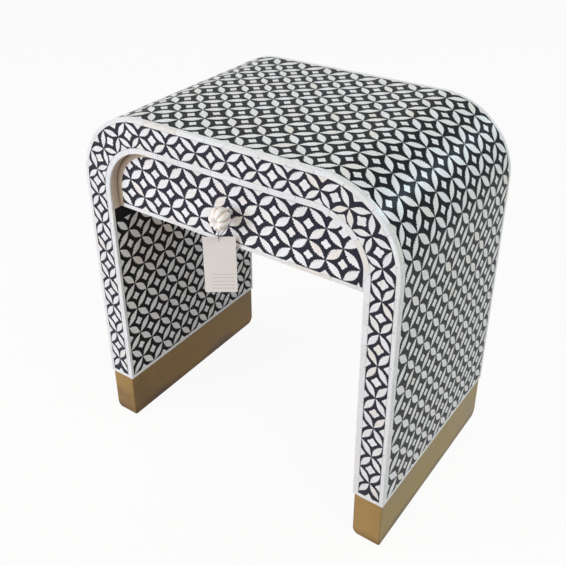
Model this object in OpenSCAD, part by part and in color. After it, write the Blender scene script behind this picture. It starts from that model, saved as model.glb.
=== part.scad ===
// One-drawer waterfall nightstand. An arched case with bone inlay set in black resin,
// sheet-metal feet, a drawer hung between the legs under the top, and a fluted knob.
// Origin: centre of the overall footprint, on the floor. +X right, +Y to the back, +Z up.

/* [Case] */
// Overall width over both legs
case_w = 520; // [460:5:600]
// Depth from the front face to the back face
case_d = 340; // [280:5:420]
// Overall height
case_h = 560; // [480:5:620]
// Thickness of each leg
leg_t = 47; // [42:1:58]
// Thickness of the top
top_t = 50; // [46:1:60]
// Outside radius of the two bends
bend_r = 114; // [100:1:122]
// Inside radius of the two bends
inner_bend_r = 77; // [72:1:84]
// Diameter of the dowels that join the bends to the legs and the top
dowel_d = 10; // [8:1:14]
// Length of those dowels
dowel_len = 44; // [30:2:48]
// Dowels in each of the four joints
dowel_n = 4; // [3:1:6]
// Clearance round the dowels and the glides' nails
fit_gap = 0.1; // [0.05:0.05:0.3]

/* [Inlay] */
// Thickness of the bone and resin layer
inlay_t = 3; // [2:0.5:4]
// How far the polished resin lies below the bone
resin_dip = 0.15; // [0.05:0.05:0.3]
// Width of the bone strips along the outer edge of the front and back faces
face_strip_w = 6; // [4:0.5:8]
// Width of the bone strips round the opening in the front and back faces
mouth_strip_w = 8.5; // [5:0.5:10]
// Width of the bone strips on the outer faces
shell_strip_w = 4; // [2:0.5:6]
// Width of the bone strips on the inner faces
inner_strip_w = 2; // [1:0.5:5]
// Height of the bone strips just above the feet
foot_strip_h = 6; // [4:0.5:10]
// Cells of the pattern from one foot of the front band to the other
band_cells = 27; // [25:2:29]
// Cells of the pattern round each bend of the front band
bend_cells = 4; // [3.5:0.5:4.5]
// Cells of the pattern along the top of the front band, between the bends
top_cells = 5.5; // [5:0.5:6.5]
// Width of a petal at its middle, as a share of its length
petal_fullness = 0.37; // [0.3:0.01:0.45]
// Angle between a petal's axis and its edge at the tips
petal_tip_angle = 30; // [24:1:31]
// Gap of resin at each tip of a petal
petal_tip_gap = 0.6; // [0.4:0.1:1.5]
// Size of the stars between the petals, tip to tip
star_w = 16; // [12:1:20]
// How far the sides of a star curve in, measured along its diagonal
star_waist = 0.4; // [0.2:0.1:2]

/* [Feet] */
// Height of the metal sleeve on each leg
foot_h = 81; // [50:1:120]
// How far the sleeve stands in from the inlay
foot_inset = 1.5; // [1:0.5:3]
// Sheet thickness of the sleeve
sleeve_t = 1.2; // [0.8:0.1:1.6]
// Glue gap between the sleeve and the leg inside it
sleeve_gap = 0.3; // [0.1:0.1:0.6]
// Radius of the sleeve's lower corners, seen from the front
foot_toe_r = 6; // [4:0.5:12]
// Radius of the sleeve's lower corners, seen from the side
foot_heel_r = 11; // [5:0.5:20]
// Diameter of the nail-on floor glides
glide_d = 18; // [12:1:24]
// Height of the floor glides
glide_h = 2; // [1.5:0.5:4]
// Distance of the glides from the front and back faces
glide_in = 34; // [24:1:60]
// Diameter of the glides' nails
nail_d = 2.4; // [1.6:0.2:3.2]
// Length of the glides' nails
nail_len = 16; // [10:1:24]

/* [Drawer opening] */
// Height of the drawer opening under the top
bay_h = 108; // [104:1:130]
// How far the drawer front stands behind the case's front face
drawer_recess = 15; // [8:1:24]
// How far the back panel stands in from the case's back face
back_recess = 15; // [5:1:24]
// Thickness of the back panel
back_t = 12; // [8:1:18]
// Thickness of the board under the drawer
floor_t = 10; // [8:1:14]
// How deep that board is housed in the legs, past their inlay layer
housing_depth = 6; // [4:1:12]
// Width of the guides beside the drawer
guide_w = 15.6; // [12:0.2:24]
// Width of the hardwood runners under the drawer sides
runner_w = 16; // [13:1:24]
// Height of the runners
runner_h = 3; // [2:0.5:5]
// Height of the guides beside the drawer
guide_h = 20; // [12:1:30]
// Width of the kickers that hold the drawer level from above
kicker_w = 18; // [14:1:26]
// Gap between each kicker and the outer face of the drawer side below it
kicker_in = 1; // [0.5:0.5:4]
// Width of the stops behind the drawer
stop_w = 24; // [16:1:40]
// Height of the stops above the board under the drawer
stop_h = 36; // [20:1:50]
// Width of the catch block that keeps the drawer from falling out
catch_w = 36; // [20:1:60]
// Length of the catch block, front to back
catch_len = 16; // [10:1:24]
// How far the catch block reaches below the top of the drawer's back
catch_bite = 5; // [3:0.5:9]

/* [Drawer] */
// Gap round the drawer front
drawer_gap = 1.5; // [1:0.1:3]
// Thickness of the drawer front's wooden core
front_core_t = 15; // [12:1:20]
// Radius of the drawer front's lower corners
front_foot_r = 4; // [2:0.5:8]
// Width of the bone strips at the drawer front's two sides
drawer_side_strip_w = 8.5; // [5:0.5:10]
// Width of the bone strip at the drawer front's top
drawer_top_strip_w = 8; // [5:0.5:10]
// Width of the bone strip at the drawer front's foot
drawer_foot_strip_w = 6.5; // [5:0.5:10]
// How far the drawer front stops above the underside of the drawer's bay
front_lift = 3.5; // [0.5:0.5:5]
// How far the drawer's pattern stands to the right of its middle
drawer_pattern_shift = -5.5; // [-8:0.5:8]
// Cells of the pattern along the drawer front
drawer_cells = 8; // [6:1:10]
// Rows of cells on the drawer front
drawer_rows = 2; // [1:1:2]
// Thickness of the drawer's sides and back
box_side_t = 12; // [10:1:14]
// Height of the drawer's sides
box_h = 56; // [46:1:60]
// Room between the drawer's back and the back panel
back_room = 18; // [12:1:60]
// How far the drawer's back stands below its sides
back_drop = 5; // [3:1:8]
// Thickness of the drawer's bottom panel
panel_t = 4; // [3:0.5:5]
// Depth of the grooves that hold the bottom panel and the sides
groove_depth = 6; // [4:0.5:7]
// Height of the bottom panel above the lower edge of the sides
groove_z = 5; // [4:1:10]
// Running clearance of the drawer on its runners and guides
slide_gap = 0.4; // [0.3:0.1:1]

/* [Knob] */
// Height of the knob's axis above the drawer front's lower edge
knob_up = 55; // [46:1:62]
// Diameter of the knob's head
knob_d = 31; // [24:1:40]
// Length of the knob's head along its axis
knob_head_len = 26; // [20:1:30]
// Distance from the drawer front's face to the tip of the knob
knob_len = 36; // [34:1:48]
// Lobes round the knob's head
knob_lobes = 8; // [6:1:12]
// Depth of the grooves between the lobes
knob_groove = 2.8; // [1:0.1:3.5]
// Angle that each groove swirls by from the back of the head to its tip
knob_swirl = 30; // [0:1:45]
// Diameter of the rim round the dimple at the tip of the head
knob_rim_d = 11; // [8:0.5:12]
// Depth of the dimple that the knob's grooves run into, at its tip
knob_dimple = 4.5; // [2:0.5:6]
// Width of that dimple
knob_dimple_d = 15; // [8:0.5:20]
// Diameter of the neck between the head and the drawer front
neck_d = 10; // [8:0.5:12]
// Diameter of the neck's foot on the drawer front
neck_foot_d = 17; // [13:0.5:22]
// Height of the neck's foot
neck_foot_h = 3; // [2:0.5:4]
// How far the neck reaches into the head
neck_in = 4; // [2:0.5:6]
// Diameter of the screw that holds the knob
screw_d = 4; // [3:0.5:5]
// Diameter of the screw's head
screw_head_d = 8; // [7:0.5:10]
// Height of the screw's head
screw_head_h = 2.4; // [1.6:0.2:3.6]
// Clearance round the screw in the drawer front
screw_gap = 0.2; // [0.1:0.1:0.5]
// How far the screw reaches into the knob, past the drawer front's face
screw_reach = 20; // [14:1:24]
// Diameter of the washer under the screw's head
washer_d = 12; // [10:0.5:16]
// Thickness of the washer
washer_t = 1; // [0.8:0.1:2]

/* [Swing tag] */
// Width of the card
tag_w = 45; // [30:1:60]
// Height of the card
tag_h = 88; // [50:1:100]
// Thickness of the card
tag_t = 0.6; // [0.4:0.1:1]
// Radius of the card's corners
tag_r = 1.5; // [0.5:0.5:4]
// Diameter of the hole for the thread
tag_hole_d = 4; // [3:0.5:5]
// Distance of the hole's centre from the card's upper edge
tag_hole_in = 5; // [4:0.5:8]
// How far the card hangs turned, from facing the front
tag_yaw = 35; // [0:1:40]
// How far the card's hole hangs below the knob's axis
tag_drop = 37; // [28:1:40]
// How far the card hangs in front of the drawer front's face, at its hole
tag_out = 18; // [16:0.5:21]
// How far the card's hole hangs to the left of the knob's axis
tag_left = 6; // [0:0.5:8]
// Diameter of the thread
thread_d = 1; // [0.6:0.1:1.4]

/* [Hidden] */
$fn = 96;
eps = 0.5;

bone = "#e6e2d8";
resin = "#2c2b36";
wood = "#b58a5c";
metal = "#a88a55";

// Places along the depth
knob_out = knob_len - drawer_recess;
front_y = (knob_out - case_d) / 2;
back_y = front_y + case_d;
face_y = front_y + drawer_recess;
core_face_y = face_y + inlay_t;
box_y0 = core_face_y + front_core_t;
back_panel_y = back_y - back_recess - back_t;
box_y1 = back_panel_y - back_room;
bay_y = box_y0 + slide_gap;

// Half widths and heights
out_x = case_w / 2;
in_x = out_x - leg_t;
leg_x = (out_x + in_x) / 2;
in_z = case_h - top_t;
bend_x = in_x - inner_bend_r;
bend_z = in_z - inner_bend_r;
opening_z = in_z - bay_h;
runner_z = opening_z + floor_t;
box_z = runner_z + runner_h + slide_gap;
box_top = box_z + box_h;
panel_z = box_z + groove_z;
box_x = in_x - guide_w - slide_gap;
box_in_x = box_x - box_side_t;
drawer_x = in_x - drawer_gap;
drawer_top = in_z - drawer_gap;
drawer_top_r = inner_bend_r - drawer_gap;
back_top = box_top - back_drop;
knob_z = opening_z + knob_up;
foot_strip_top = foot_h + foot_strip_h;
sleeve_z = glide_h;
core_foot_inset = foot_inset + sleeve_t + sleeve_gap;
core_foot_z = sleeve_z + sleeve_t + sleeve_gap;
catch_y = box_y0 + groove_depth;

// The tag's hole, the direction through its card, and the loop of thread that it hangs on.
// All are measured from the knob's axis at the drawer front's face. The thread leaves the
// hole at the card's front, goes over the neck and comes back to the hole from behind.
tag_hole = [-tag_left, -tag_out, -tag_drop];
card_normal = [-sin(tag_yaw), cos(tag_yaw), 0];
hang = tag_hole + [0, 0, (tag_hole_d - thread_d) / 2 - fit_gap];
thread_off = thread_d + tag_t;
loop_r = (neck_d + thread_d) / 2 + fit_gap;
loop_y = -(neck_foot_h + knob_len - knob_head_len) / 2;
card_top = hang + [0, 0, tag_hole_in - tag_hole_d / 2];
thread_route = [
    hang - 0.25 * thread_off * card_normal,
    hang - thread_off * card_normal + [0, 0, thread_d],
    card_top - thread_off * card_normal + [-1, 0, thread_d],
    [-1.3 * loop_r, 1.9 * loop_y, -0.4 * tag_drop],
    [-1.05 * loop_r, loop_y, -0.4 * loop_r],
    for (a = [180:-30:0])
        [loop_r * cos(a), loop_y, loop_r * sin(a)],
    [1.05 * loop_r, loop_y, -0.4 * loop_r],
    [0.9 * loop_r, 1.7 * loop_y, -0.4 * tag_drop],
    card_top + thread_off * card_normal + [1, 0, thread_d],
    hang + thread_off * card_normal + [0, 0, thread_d],
    hang + 0.25 * thread_off * card_normal
];

// 2D shapes lie in X and Z. They are pushed through the depth from y0 to y1.
module through(y0, y1) {
    translate([0, y1, 0])
        rotate([90, 0, 0])
            linear_extrude(y1 - y0)
                children();
}

module box(x0, x1, y0, y1, z0, z1) {
    translate([x0, y0, z0])
        cube([x1 - x0, y1 - y0, z1 - z0]);
}

// An arch with square feet: half width hw, top and corner radius r, from height z0 up
module arch(hw, top, r, z0) {
    translate([-hw, z0])
        square([2 * hw, top - r - z0]);
    translate([-(hw - r), z0])
        square([2 * (hw - r), top - z0]);
    for (side = [-1, 1])
        translate([side * (hw - r), top - r])
            intersection() {
                circle(r);
                translate([-r, 0])
                    square([2 * r, r]);
            }
}

// The case's outer outline, moved in by off, and its opening, moved out by off
module outer_arch(off, z0) {
    arch(out_x - off, case_h - off, bend_r - off, z0);
}

module opening_arch(off, z0) {
    arch(in_x + off, in_z + off, inner_bend_r + off, z0);
}

module ring(outer_off, inner_off, z0) {
    difference() {
        outer_arch(outer_off, z0);
        opening_arch(inner_off, z0 - eps);
    }
}

// The part of a 2D shape inside a window
module window(x0, x1, z0, z1) {
    intersection() {
        children();
        translate([x0, z0])
            square([x1 - x0, z1 - z0]);
    }
}

// A petal from p to q: two arcs, and four straight cuts that bring its tips to a point.
// The arcs would meet a little past the tips, so each cut takes a clean corner off.
module petal(p, q) {
    len = norm(q - p) - 2 * petal_tip_gap;
    w = petal_fullness * len;
    chord = 1.08 * len;
    r = (chord * chord + w * w) / (4 * w);
    shoulder = len / 2 * tan(petal_tip_angle);
    translate((p + q) / 2)
        rotate(atan2(q[1] - p[1], q[0] - p[0]))
            intersection() {
                translate([0, r - w / 2])
                    circle(r);
                translate([0, w / 2 - r])
                    circle(r);
                polygon([[-len / 2, 0], [0, -shoulder], [len / 2, 0], [0, shoulder]]);
            }
}

// A four-pointed star at c, turned by turn
module star(c, turn) {
    tip = star_w / 2;
    waist = (tip - star_waist * sqrt(2)) / 2;
    translate(c)
        rotate(turn)
            polygon([
                for (quarter = [0:3])
                    for (p = [[tip, 0], [waist, waist]])
                        let (a = 90 * quarter)
                            [p[0] * cos(a) - p[1] * sin(a), p[0] * sin(a) + p[1] * cos(a)]
            ]);
}

// The half of a star that lies against a border
module half_star(c, turn) {
    tip = star_w / 2;
    waist = (tip - star_waist * sqrt(2)) / 2;
    translate(c)
        rotate(turn)
            translate([0, petal_tip_gap])
                polygon([[-tip, 0], [tip, 0], [waist, waist], [0, tip], [-waist, waist]]);
}

// The face band runs up the right leg, round the top and down the left leg.
// u counts cells along it, and v goes from 0 at its inner edge to 1 at its outer edge.
leg_cells = (band_cells - top_cells) / 2 - bend_cells;

function mix(a, b, k) = a + (b - a) * k;

// Where a ray from the inner bend's centre, at angle a, meets the band's outer border
function border_ray(a) =
    let (p = [bend_x, bend_z])
    let (d = [cos(a), sin(a)])
    let (c = [out_x - bend_r, case_h - bend_r] - p)
    let (t = c * d + sqrt(pow(c * d, 2) - c * c + pow(bend_r - face_strip_w, 2)))
    let (q = t * d)
        q[1] < c[1] ? p + (out_x - face_strip_w - p[0]) / cos(a) * d
        : q[0] < c[0] ? p + (case_h - face_strip_w - p[1]) / sin(a) * d
        : p + q;

function band_ends(u) =
    u < leg_cells ?
        let (z = mix(foot_strip_top, bend_z, u / leg_cells))
            [[in_x + mouth_strip_w, z], [out_x - face_strip_w, z]]
    : u < leg_cells + bend_cells ?
        let (a = 90 * (u - leg_cells) / bend_cells)
            [[bend_x, bend_z] + (inner_bend_r + mouth_strip_w) * [cos(a), sin(a)], border_ray(a)]
    :
        let (x = mix(bend_x, 0, (u - leg_cells - bend_cells) / (top_cells / 2)))
            [[x, in_z + mouth_strip_w], [x, case_h - face_strip_w]];

function band_point(u, v) =
    let (mirrored = u > band_cells / 2)
    let (ends = band_ends(mirrored ? band_cells - u : u))
    let (p = mix(ends[0], ends[1], v))
        [mirrored ? -p[0] : p[0], p[1]];

function band_turn(u, v) =
    let (d = band_point(u + 0.1, v) - band_point(u - 0.1, v))
        atan2(d[1], d[0]);

module band_area() {
    ring(face_strip_w, mouth_strip_w, foot_strip_top);
}

module band_pieces() {
    for (k = [0:band_cells - 1])
        for (end = [0, 1])
            for (v = [0, 1])
                petal(band_point(k + 0.5, 0.5), band_point(k + end, v));
    for (k = [1:band_cells - 1])
        star(band_point(k, 0.5), band_turn(k, 0.5));
    for (u = [0, band_cells])
        half_star(band_point(u, 0.5), 0);
    for (k = [0:band_cells - 1])
        for (v = [0, 1])
            half_star(band_point(k + 0.5, v), band_turn(k + 0.5, v) + 180 * (1 - v));
}

// The pattern on the drawer front, as a lattice of half cells
drawer_half_w = drawer_x - drawer_side_strip_w;
drawer_foot_z = opening_z + front_lift;
drawer_pattern_z0 = drawer_foot_z + drawer_foot_strip_w;
drawer_pattern_z1 = drawer_top - drawer_top_strip_w;
half_cell_x = drawer_half_w / drawer_cells;
half_cell_z = (drawer_pattern_z1 - drawer_pattern_z0) / (2 * drawer_rows);

function lattice_point(i, j) =
    [drawer_pattern_shift + (i - drawer_cells) * half_cell_x, drawer_pattern_z0 + j * half_cell_z];

module drawer_outline(side, foot, top) {
    hw = drawer_x - side;
    r = drawer_top_r - side;
    z0 = drawer_foot_z + foot;
    foot_r = max(front_foot_r - side, 1);
    difference() {
        intersection() {
            arch(hw, drawer_top - side, r, z0);
            translate([-hw, z0])
                square([2 * hw, drawer_top - top - z0]);
        }
        for (mx = [-1, 1])
            translate([mx * (hw - foot_r), z0 + foot_r])
                difference() {
                    translate([mx > 0 ? 0 : -foot_r - 1, -foot_r - 1])
                        square(foot_r + 1);
                    circle(foot_r);
                }
    }
}

module drawer_field() {
    drawer_outline(drawer_side_strip_w, drawer_foot_strip_w, drawer_top_strip_w);
}

module drawer_pieces() {
    nx = 2 * drawer_cells;
    nz = 2 * drawer_rows;
    intersection() {
        drawer_field();
        union() {
            for (i = [0:nx - 1])
                for (j = [0:nz - 1])
                    if ((i + j) % 2 == 0)
                        petal(lattice_point(i, j + 1), lattice_point(i + 1, j));
                    else
                        petal(lattice_point(i, j), lattice_point(i + 1, j + 1));
            for (i = [1:nx - 1])
                for (j = [0:nz])
                    if ((i + j) % 2 == 0)
                        star(lattice_point(i, j), 0);
        }
    }
}

// Wooden core of the case
module dowel_set(extra) {
    step = case_d / dowel_n;
    for (side = [-1, 1])
        for (k = [0:dowel_n - 1])
            translate([0, front_y + step * (k + 0.5), 0]) {
                translate([side * leg_x, 0, bend_z - dowel_len / 2 - extra])
                    cylinder(d = dowel_d + extra, h = dowel_len + 2 * extra);
                translate([side * bend_x - dowel_len / 2 - extra, 0, (in_z + case_h) / 2])
                    rotate([0, 90, 0])
                        cylinder(d = dowel_d + extra, h = dowel_len + 2 * extra);
            }
}

// A leg's foot: lower corners rounded in front view and in side view
module rounded_foot(w, z0, z1, r) {
    translate([-w / 2, z0 + r])
        square([w, z1 - z0 - r]);
    translate([r - w / 2, z0])
        square([w - 2 * r, z1 - z0]);
    for (side = [-1, 1])
        translate([side * (w / 2 - r), z0 + r])
            circle(r);
}

module foot_form(side, inset, z0, z1) {
    shrink = inset - foot_inset;
    translate([side * leg_x, front_y + case_d / 2, 0])
        intersection() {
            through(-case_d / 2, case_d / 2)
                rounded_foot(leg_t - 2 * inset, z0, z1, foot_toe_r - shrink);
            rotate([90, 0, 90])
                translate([0, 0, -leg_t / 2])
                    linear_extrude(leg_t)
                        rounded_foot(case_d - 2 * inset, z0, z1, foot_heel_r - shrink);
        }
}

module glide_nails(extra) {
    for (side = [-1, 1])
        for (y = [front_y + glide_in, back_y - glide_in])
            translate([side * leg_x, y, glide_h - eps])
                cylinder(d = nail_d + extra, h = nail_len + extra);
}

module leg_core(side) {
    x0 = side > 0 ? in_x + inlay_t : inlay_t - out_x;
    color(wood)
        difference() {
            union() {
                box(x0, x0 + leg_t - 2 * inlay_t, front_y + inlay_t, back_y - inlay_t, foot_h, bend_z);
                foot_form(side, core_foot_inset, core_foot_z, foot_h + eps);
            }
            dowel_set(fit_gap);
            glide_nails(fit_gap);
            drawer_bay_board();
        }
}

module bend_core(side) {
    color(wood)
        difference() {
            through(front_y + inlay_t, back_y - inlay_t)
                window(side > 0 ? bend_x : -out_x, side > 0 ? out_x : -bend_x, bend_z, case_h)
                    ring(inlay_t, inlay_t, bend_z - eps);
            dowel_set(fit_gap);
        }
}

module top_core() {
    color(wood)
        difference() {
            box(-bend_x, bend_x, front_y + inlay_t, back_y - inlay_t, in_z + inlay_t, case_h - inlay_t);
            dowel_set(fit_gap);
        }
}

module bend_dowels() {
    color(wood)
        dowel_set(0);
}

// Inlay layers
module outer_resin() {
    e = inlay_t + shell_strip_w;
    color(resin)
        through(front_y + e, back_y - e)
            difference() {
                outer_arch(resin_dip, foot_strip_top);
                outer_arch(inlay_t, foot_strip_top - eps);
            }
}

module outer_edging() {
    color(bone)
        for (y = [front_y + inlay_t, back_y - inlay_t - shell_strip_w])
            through(y, y + shell_strip_w)
                difference() {
                    outer_arch(0, foot_h);
                    outer_arch(inlay_t, foot_h - eps);
                }
}

module inner_resin(side) {
    e = inlay_t + inner_strip_w;
    color(resin)
        mirror([side < 0 ? 1 : 0, 0, 0])
            box(in_x + resin_dip, in_x + inlay_t, front_y + e, back_y - e, foot_strip_top, opening_z);
}

module inner_edging() {
    color(bone)
        for (x = [in_x, -in_x - inlay_t])
            for (y = [front_y + inlay_t, back_y - inlay_t - inner_strip_w])
                box(x, x + inlay_t, y, y + inner_strip_w, foot_h, opening_z);
}

module face_resin(y0, y1) {
    color(resin)
        through(y0, y1)
            difference() {
                band_area();
                band_pieces();
            }
}

module face_bone(y) {
    color(bone)
        through(y, y + inlay_t)
            band_pieces();
}

module face_edging(y) {
    color(bone)
        through(y, y + inlay_t) {
            difference() {
                outer_arch(0, foot_h);
                outer_arch(face_strip_w, foot_h - eps);
            }
            difference() {
                opening_arch(mouth_strip_w, foot_h);
                opening_arch(0, foot_h - eps);
            }
        }
}

// Bone strips just above the feet, on all four sides of each leg
module foot_strips() {
    shell_in = inlay_t + shell_strip_w;
    inner_in = inlay_t + inner_strip_w;
    color(bone)
        for (side = [-1, 1]) {
            for (y = [front_y, back_y - inlay_t])
                mirror([side < 0 ? 1 : 0, 0, 0])
                    box(in_x + mouth_strip_w, out_x - face_strip_w, y, y + inlay_t, foot_h, foot_strip_top);
            mirror([side < 0 ? 1 : 0, 0, 0]) {
                box(out_x - inlay_t, out_x, front_y + shell_in, back_y - shell_in, foot_h, foot_strip_top);
                box(in_x, in_x + inlay_t, front_y + inner_in, back_y - inner_in, foot_h, foot_strip_top);
            }
        }
}

module bay_ring(z0) {
    difference() {
        opening_arch(inlay_t, z0);
        opening_arch(0, z0 - eps);
    }
}

module opening_liner() {
    color(bone)
        through(front_y + inlay_t, bay_y)
            bay_ring(opening_z);
}

module back_liner() {
    color(bone)
        through(back_panel_y, back_y - inlay_t)
            bay_ring(opening_z);
}

module drawer_bay_lining() {
    color(wood)
        through(bay_y, back_panel_y)
            bay_ring(opening_z + floor_t);
}

// Feet
module foot_sleeve(side) {
    color(metal)
        difference() {
            foot_form(side, foot_inset, sleeve_z, foot_h);
            foot_form(side, foot_inset + sleeve_t, sleeve_z + sleeve_t, foot_h + eps);
            glide_nails(fit_gap);
        }
}

module floor_glides() {
    color("#3a3632") {
        glide_nails(0);
        for (side = [-1, 1])
            for (y = [front_y + glide_in, back_y - glide_in])
                translate([side * leg_x, y, 0])
                    cylinder(d = glide_d, h = glide_h);
    }
}

// The bay that the drawer runs in
module drawer_bay_board() {
    hx = in_x + inlay_t + housing_depth;
    box(-hx, hx, bay_y, back_panel_y, opening_z, opening_z + floor_t);
}

module drawer_bay_floor() {
    color(wood)
        drawer_bay_board();
}

module back_panel() {
    color(wood)
        through(back_panel_y, back_panel_y + back_t)
            opening_arch(0, opening_z);
}

module runner(side) {
    x1 = box_x + slide_gap;
    color(wood)
        mirror([side < 0 ? 1 : 0, 0, 0])
            box(x1 - runner_w, x1, bay_y, back_panel_y, runner_z, runner_z + runner_h);
}

module guide(side) {
    color(wood)
        mirror([side < 0 ? 1 : 0, 0, 0])
            box(box_x + slide_gap, in_x, bay_y, back_panel_y, runner_z, runner_z + guide_h);
}

module kicker(side) {
    x1 = box_x - kicker_in;
    color(wood)
        through(bay_y, back_panel_y)
            window(side > 0 ? x1 - kicker_w : -x1, side > 0 ? x1 : kicker_w - x1,
                   box_top + slide_gap, in_z)
                opening_arch(0, opening_z);
}

module drawer_stops() {
    color(wood)
        for (side = [-1, 1])
            translate([side * (box_in_x - stop_w), 0, 0])
                box(-stop_w / 2, stop_w / 2, box_y1 + slide_gap, back_panel_y, runner_z, runner_z + stop_h);
}

module drawer_catch() {
    color(wood)
        box(-catch_w / 2, catch_w / 2, catch_y, catch_y + catch_len, back_top - catch_bite, in_z);
}

// Drawer
module knob_bore(extra) {
    translate([0, face_y - eps, knob_z])
        rotate([-90, 0, 0])
            cylinder(d = screw_d + extra, h = inlay_t + front_core_t + 2 * eps);
}

module bottom_panel_blank() {
    x = box_in_x + groove_depth;
    box(-x, x, box_y0 - groove_depth, box_y1, panel_z, panel_z + panel_t);
}

module side_blank(side) {
    mirror([side < 0 ? 1 : 0, 0, 0])
        box(box_in_x, box_x, box_y0 - groove_depth, box_y1, box_z, box_top);
}

module drawer_front_core() {
    color(wood)
        difference() {
            through(core_face_y, box_y0)
                drawer_outline(0, 0, 0);
            for (side = [-1, 1])
                side_blank(side);
            bottom_panel_blank();
            knob_bore(screw_gap);
        }
}

module drawer_front_resin() {
    color(resin)
        difference() {
            through(face_y + resin_dip, core_face_y)
                difference() {
                    drawer_field();
                    drawer_pieces();
                }
            knob_bore(screw_gap);
        }
}

module drawer_front_bone() {
    color(bone)
        difference() {
            through(face_y, core_face_y)
                drawer_pieces();
            knob_bore(screw_gap);
        }
}

module drawer_front_edging() {
    color(bone)
        through(face_y, core_face_y)
            difference() {
                drawer_outline(0, 0, 0);
                drawer_field();
            }
}

module drawer_side(side) {
    color(wood)
        difference() {
            side_blank(side);
            bottom_panel_blank();
        }
}

module drawer_back() {
    color(wood)
        box(-box_in_x, box_in_x, box_y1 - box_side_t, box_y1, panel_z + panel_t, back_top);
}

module drawer_bottom() {
    color(wood)
        bottom_panel_blank();
}

// Knob. The head is a lobed body whose grooves swirl from its back to its dimpled tip.
head_half = knob_head_len / 2;
head_y = face_y - knob_len + head_half;
head_steps = 22;
head_sides = 6 * knob_lobes;
rim_r = knob_rim_d / 2;
rim_bulge = knob_d / 2 - rim_r;
pole_angle = 180 - acos(rim_r / rim_bulge);

// Step i runs from the back of the head to its tip, and k runs round it
function head_point(i, k) =
    let (s = i / head_steps)
    let (t = pole_angle * (1 - 2 * s))
    let (a = 360 * k / head_sides)
    let (lobe = abs(sin(knob_lobes * (a - knob_swirl * s) / 2)))
    let (groove = knob_groove * (1 - pow(lobe, 0.7)) * sqrt(sin(180 * s)))
    let (rho = max(rim_r + (rim_bulge - groove) * cos(t), 0))
    let (dip = s > 0.5 ? knob_dimple * pow(max(1 - 2 * rho / knob_dimple_d, 0), 2) : 0)
        [rho * cos(a), (head_half - groove) * sin(t) + dip, rho * sin(a)];

module lobed_head() {
    rings = [for (i = [1:head_steps - 1]) for (k = [0:head_sides - 1]) head_point(i, k)];
    n = head_sides;
    last = (head_steps - 2) * n;
    back_pole = len(rings);
    tip_pole = back_pole + 1;
    points = concat(rings, [head_point(0, 0), head_point(head_steps, 0)]);
    sides = [
        for (i = [0:head_steps - 3])
            for (k = [0:n - 1])
                let (a = i * n + k)
                let (b = i * n + (k + 1) % n)
                    for (f = [[a, b + n, b], [a, a + n, b + n]])
                        f
    ];
    ends = [
        for (k = [0:n - 1])
            for (f = [[back_pole, k, (k + 1) % n], [tip_pole, last + (k + 1) % n, last + k]])
                f
    ];
    polyhedron(points, concat(sides, ends), convexity = 6);
}

neck_top = knob_len - knob_head_len + neck_in;

module along_knob() {
    translate([0, face_y, knob_z])
        rotate([90, 0, 0])
            children();
}

module knob_head() {
    color(bone)
        difference() {
            translate([0, head_y, knob_z])
                lobed_head();
            along_knob()
                cylinder(d = neck_d, h = neck_top);
            along_knob()
                cylinder(d = screw_d, h = screw_reach + fit_gap);
        }
}

module knob_neck() {
    color(bone)
        along_knob()
            difference() {
                rotate_extrude()
                    polygon([
                        [0, 0], [neck_foot_d / 2, 0], [neck_foot_d / 2, neck_foot_h / 2],
                        [neck_d / 2, neck_foot_h], [neck_d / 2, neck_top], [0, neck_top]
                    ]);
                translate([0, 0, -eps])
                    cylinder(d = screw_d, h = neck_top + 2 * eps);
            }
}

module knob_screw() {
    head_z = -inlay_t - front_core_t - washer_t;
    color("silver")
        along_knob() {
            translate([0, 0, head_z])
                cylinder(d = screw_d, h = screw_reach - head_z);
            translate([0, 0, head_z - screw_head_h / 2])
                cylinder(d = screw_head_d, h = screw_head_h / 2);
            translate([0, 0, head_z - screw_head_h])
                cylinder(d1 = 0.75 * screw_head_d, d2 = screw_head_d, h = screw_head_h / 2);
        }
}

module knob_washer() {
    depth = inlay_t + front_core_t;
    color("silver")
        along_knob()
            translate([0, 0, -depth - washer_t])
                difference() {
                    cylinder(d = washer_d, h = washer_t);
                    translate([0, 0, -eps])
                        cylinder(d = screw_d + screw_gap, h = washer_t + 2 * eps);
                }
}

// Swing tag: a plain card on a thread over the knob's neck
module swing_tag() {
    color("#d8d2cc")
        translate([0, face_y, knob_z])
            translate(tag_hole)
                rotate([0, 0, tag_yaw])
                    through(-tag_t / 2, tag_t / 2)
                        difference() {
                            translate([0, tag_hole_in - tag_h])
                                union() {
                                    translate([-tag_w / 2, tag_r])
                                        square([tag_w, tag_h - 2 * tag_r]);
                                    translate([tag_r - tag_w / 2, 0])
                                        square([tag_w - 2 * tag_r, tag_h]);
                                    for (mx = [-1, 1])
                                        for (z = [tag_r, tag_h - tag_r])
                                            translate([mx * (tag_w / 2 - tag_r), z])
                                                circle(tag_r);
                                }
                            circle(d = tag_hole_d);
                        }
}

// A tube of 8 sides along a list of points
function unit(v) = v / norm(v);

function tangent(p, i) =
    unit(p[min(i + 1, len(p) - 1)] - p[max(i - 1, 0)]);

function catmull(a, b, c, d, t) =
    0.5 * (2 * b + (c - a) * t + (2 * a - 5 * b + 4 * c - d) * t * t
    + (3 * b - a - 3 * c + d) * t * t * t);

function smooth(p, steps) = [
    for (i = [0:len(p) - 2])
        for (k = [0:steps - 1])
            catmull(p[max(i - 1, 0)], p[i], p[i + 1], p[min(i + 2, len(p) - 1)], k / steps),
    p[len(p) - 1]
];

function across(p, i) =
    let (t = tangent(p, i))
    let (up = [0.2, 1, 0.1])
        unit(up - (up * t) * t);

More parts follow.
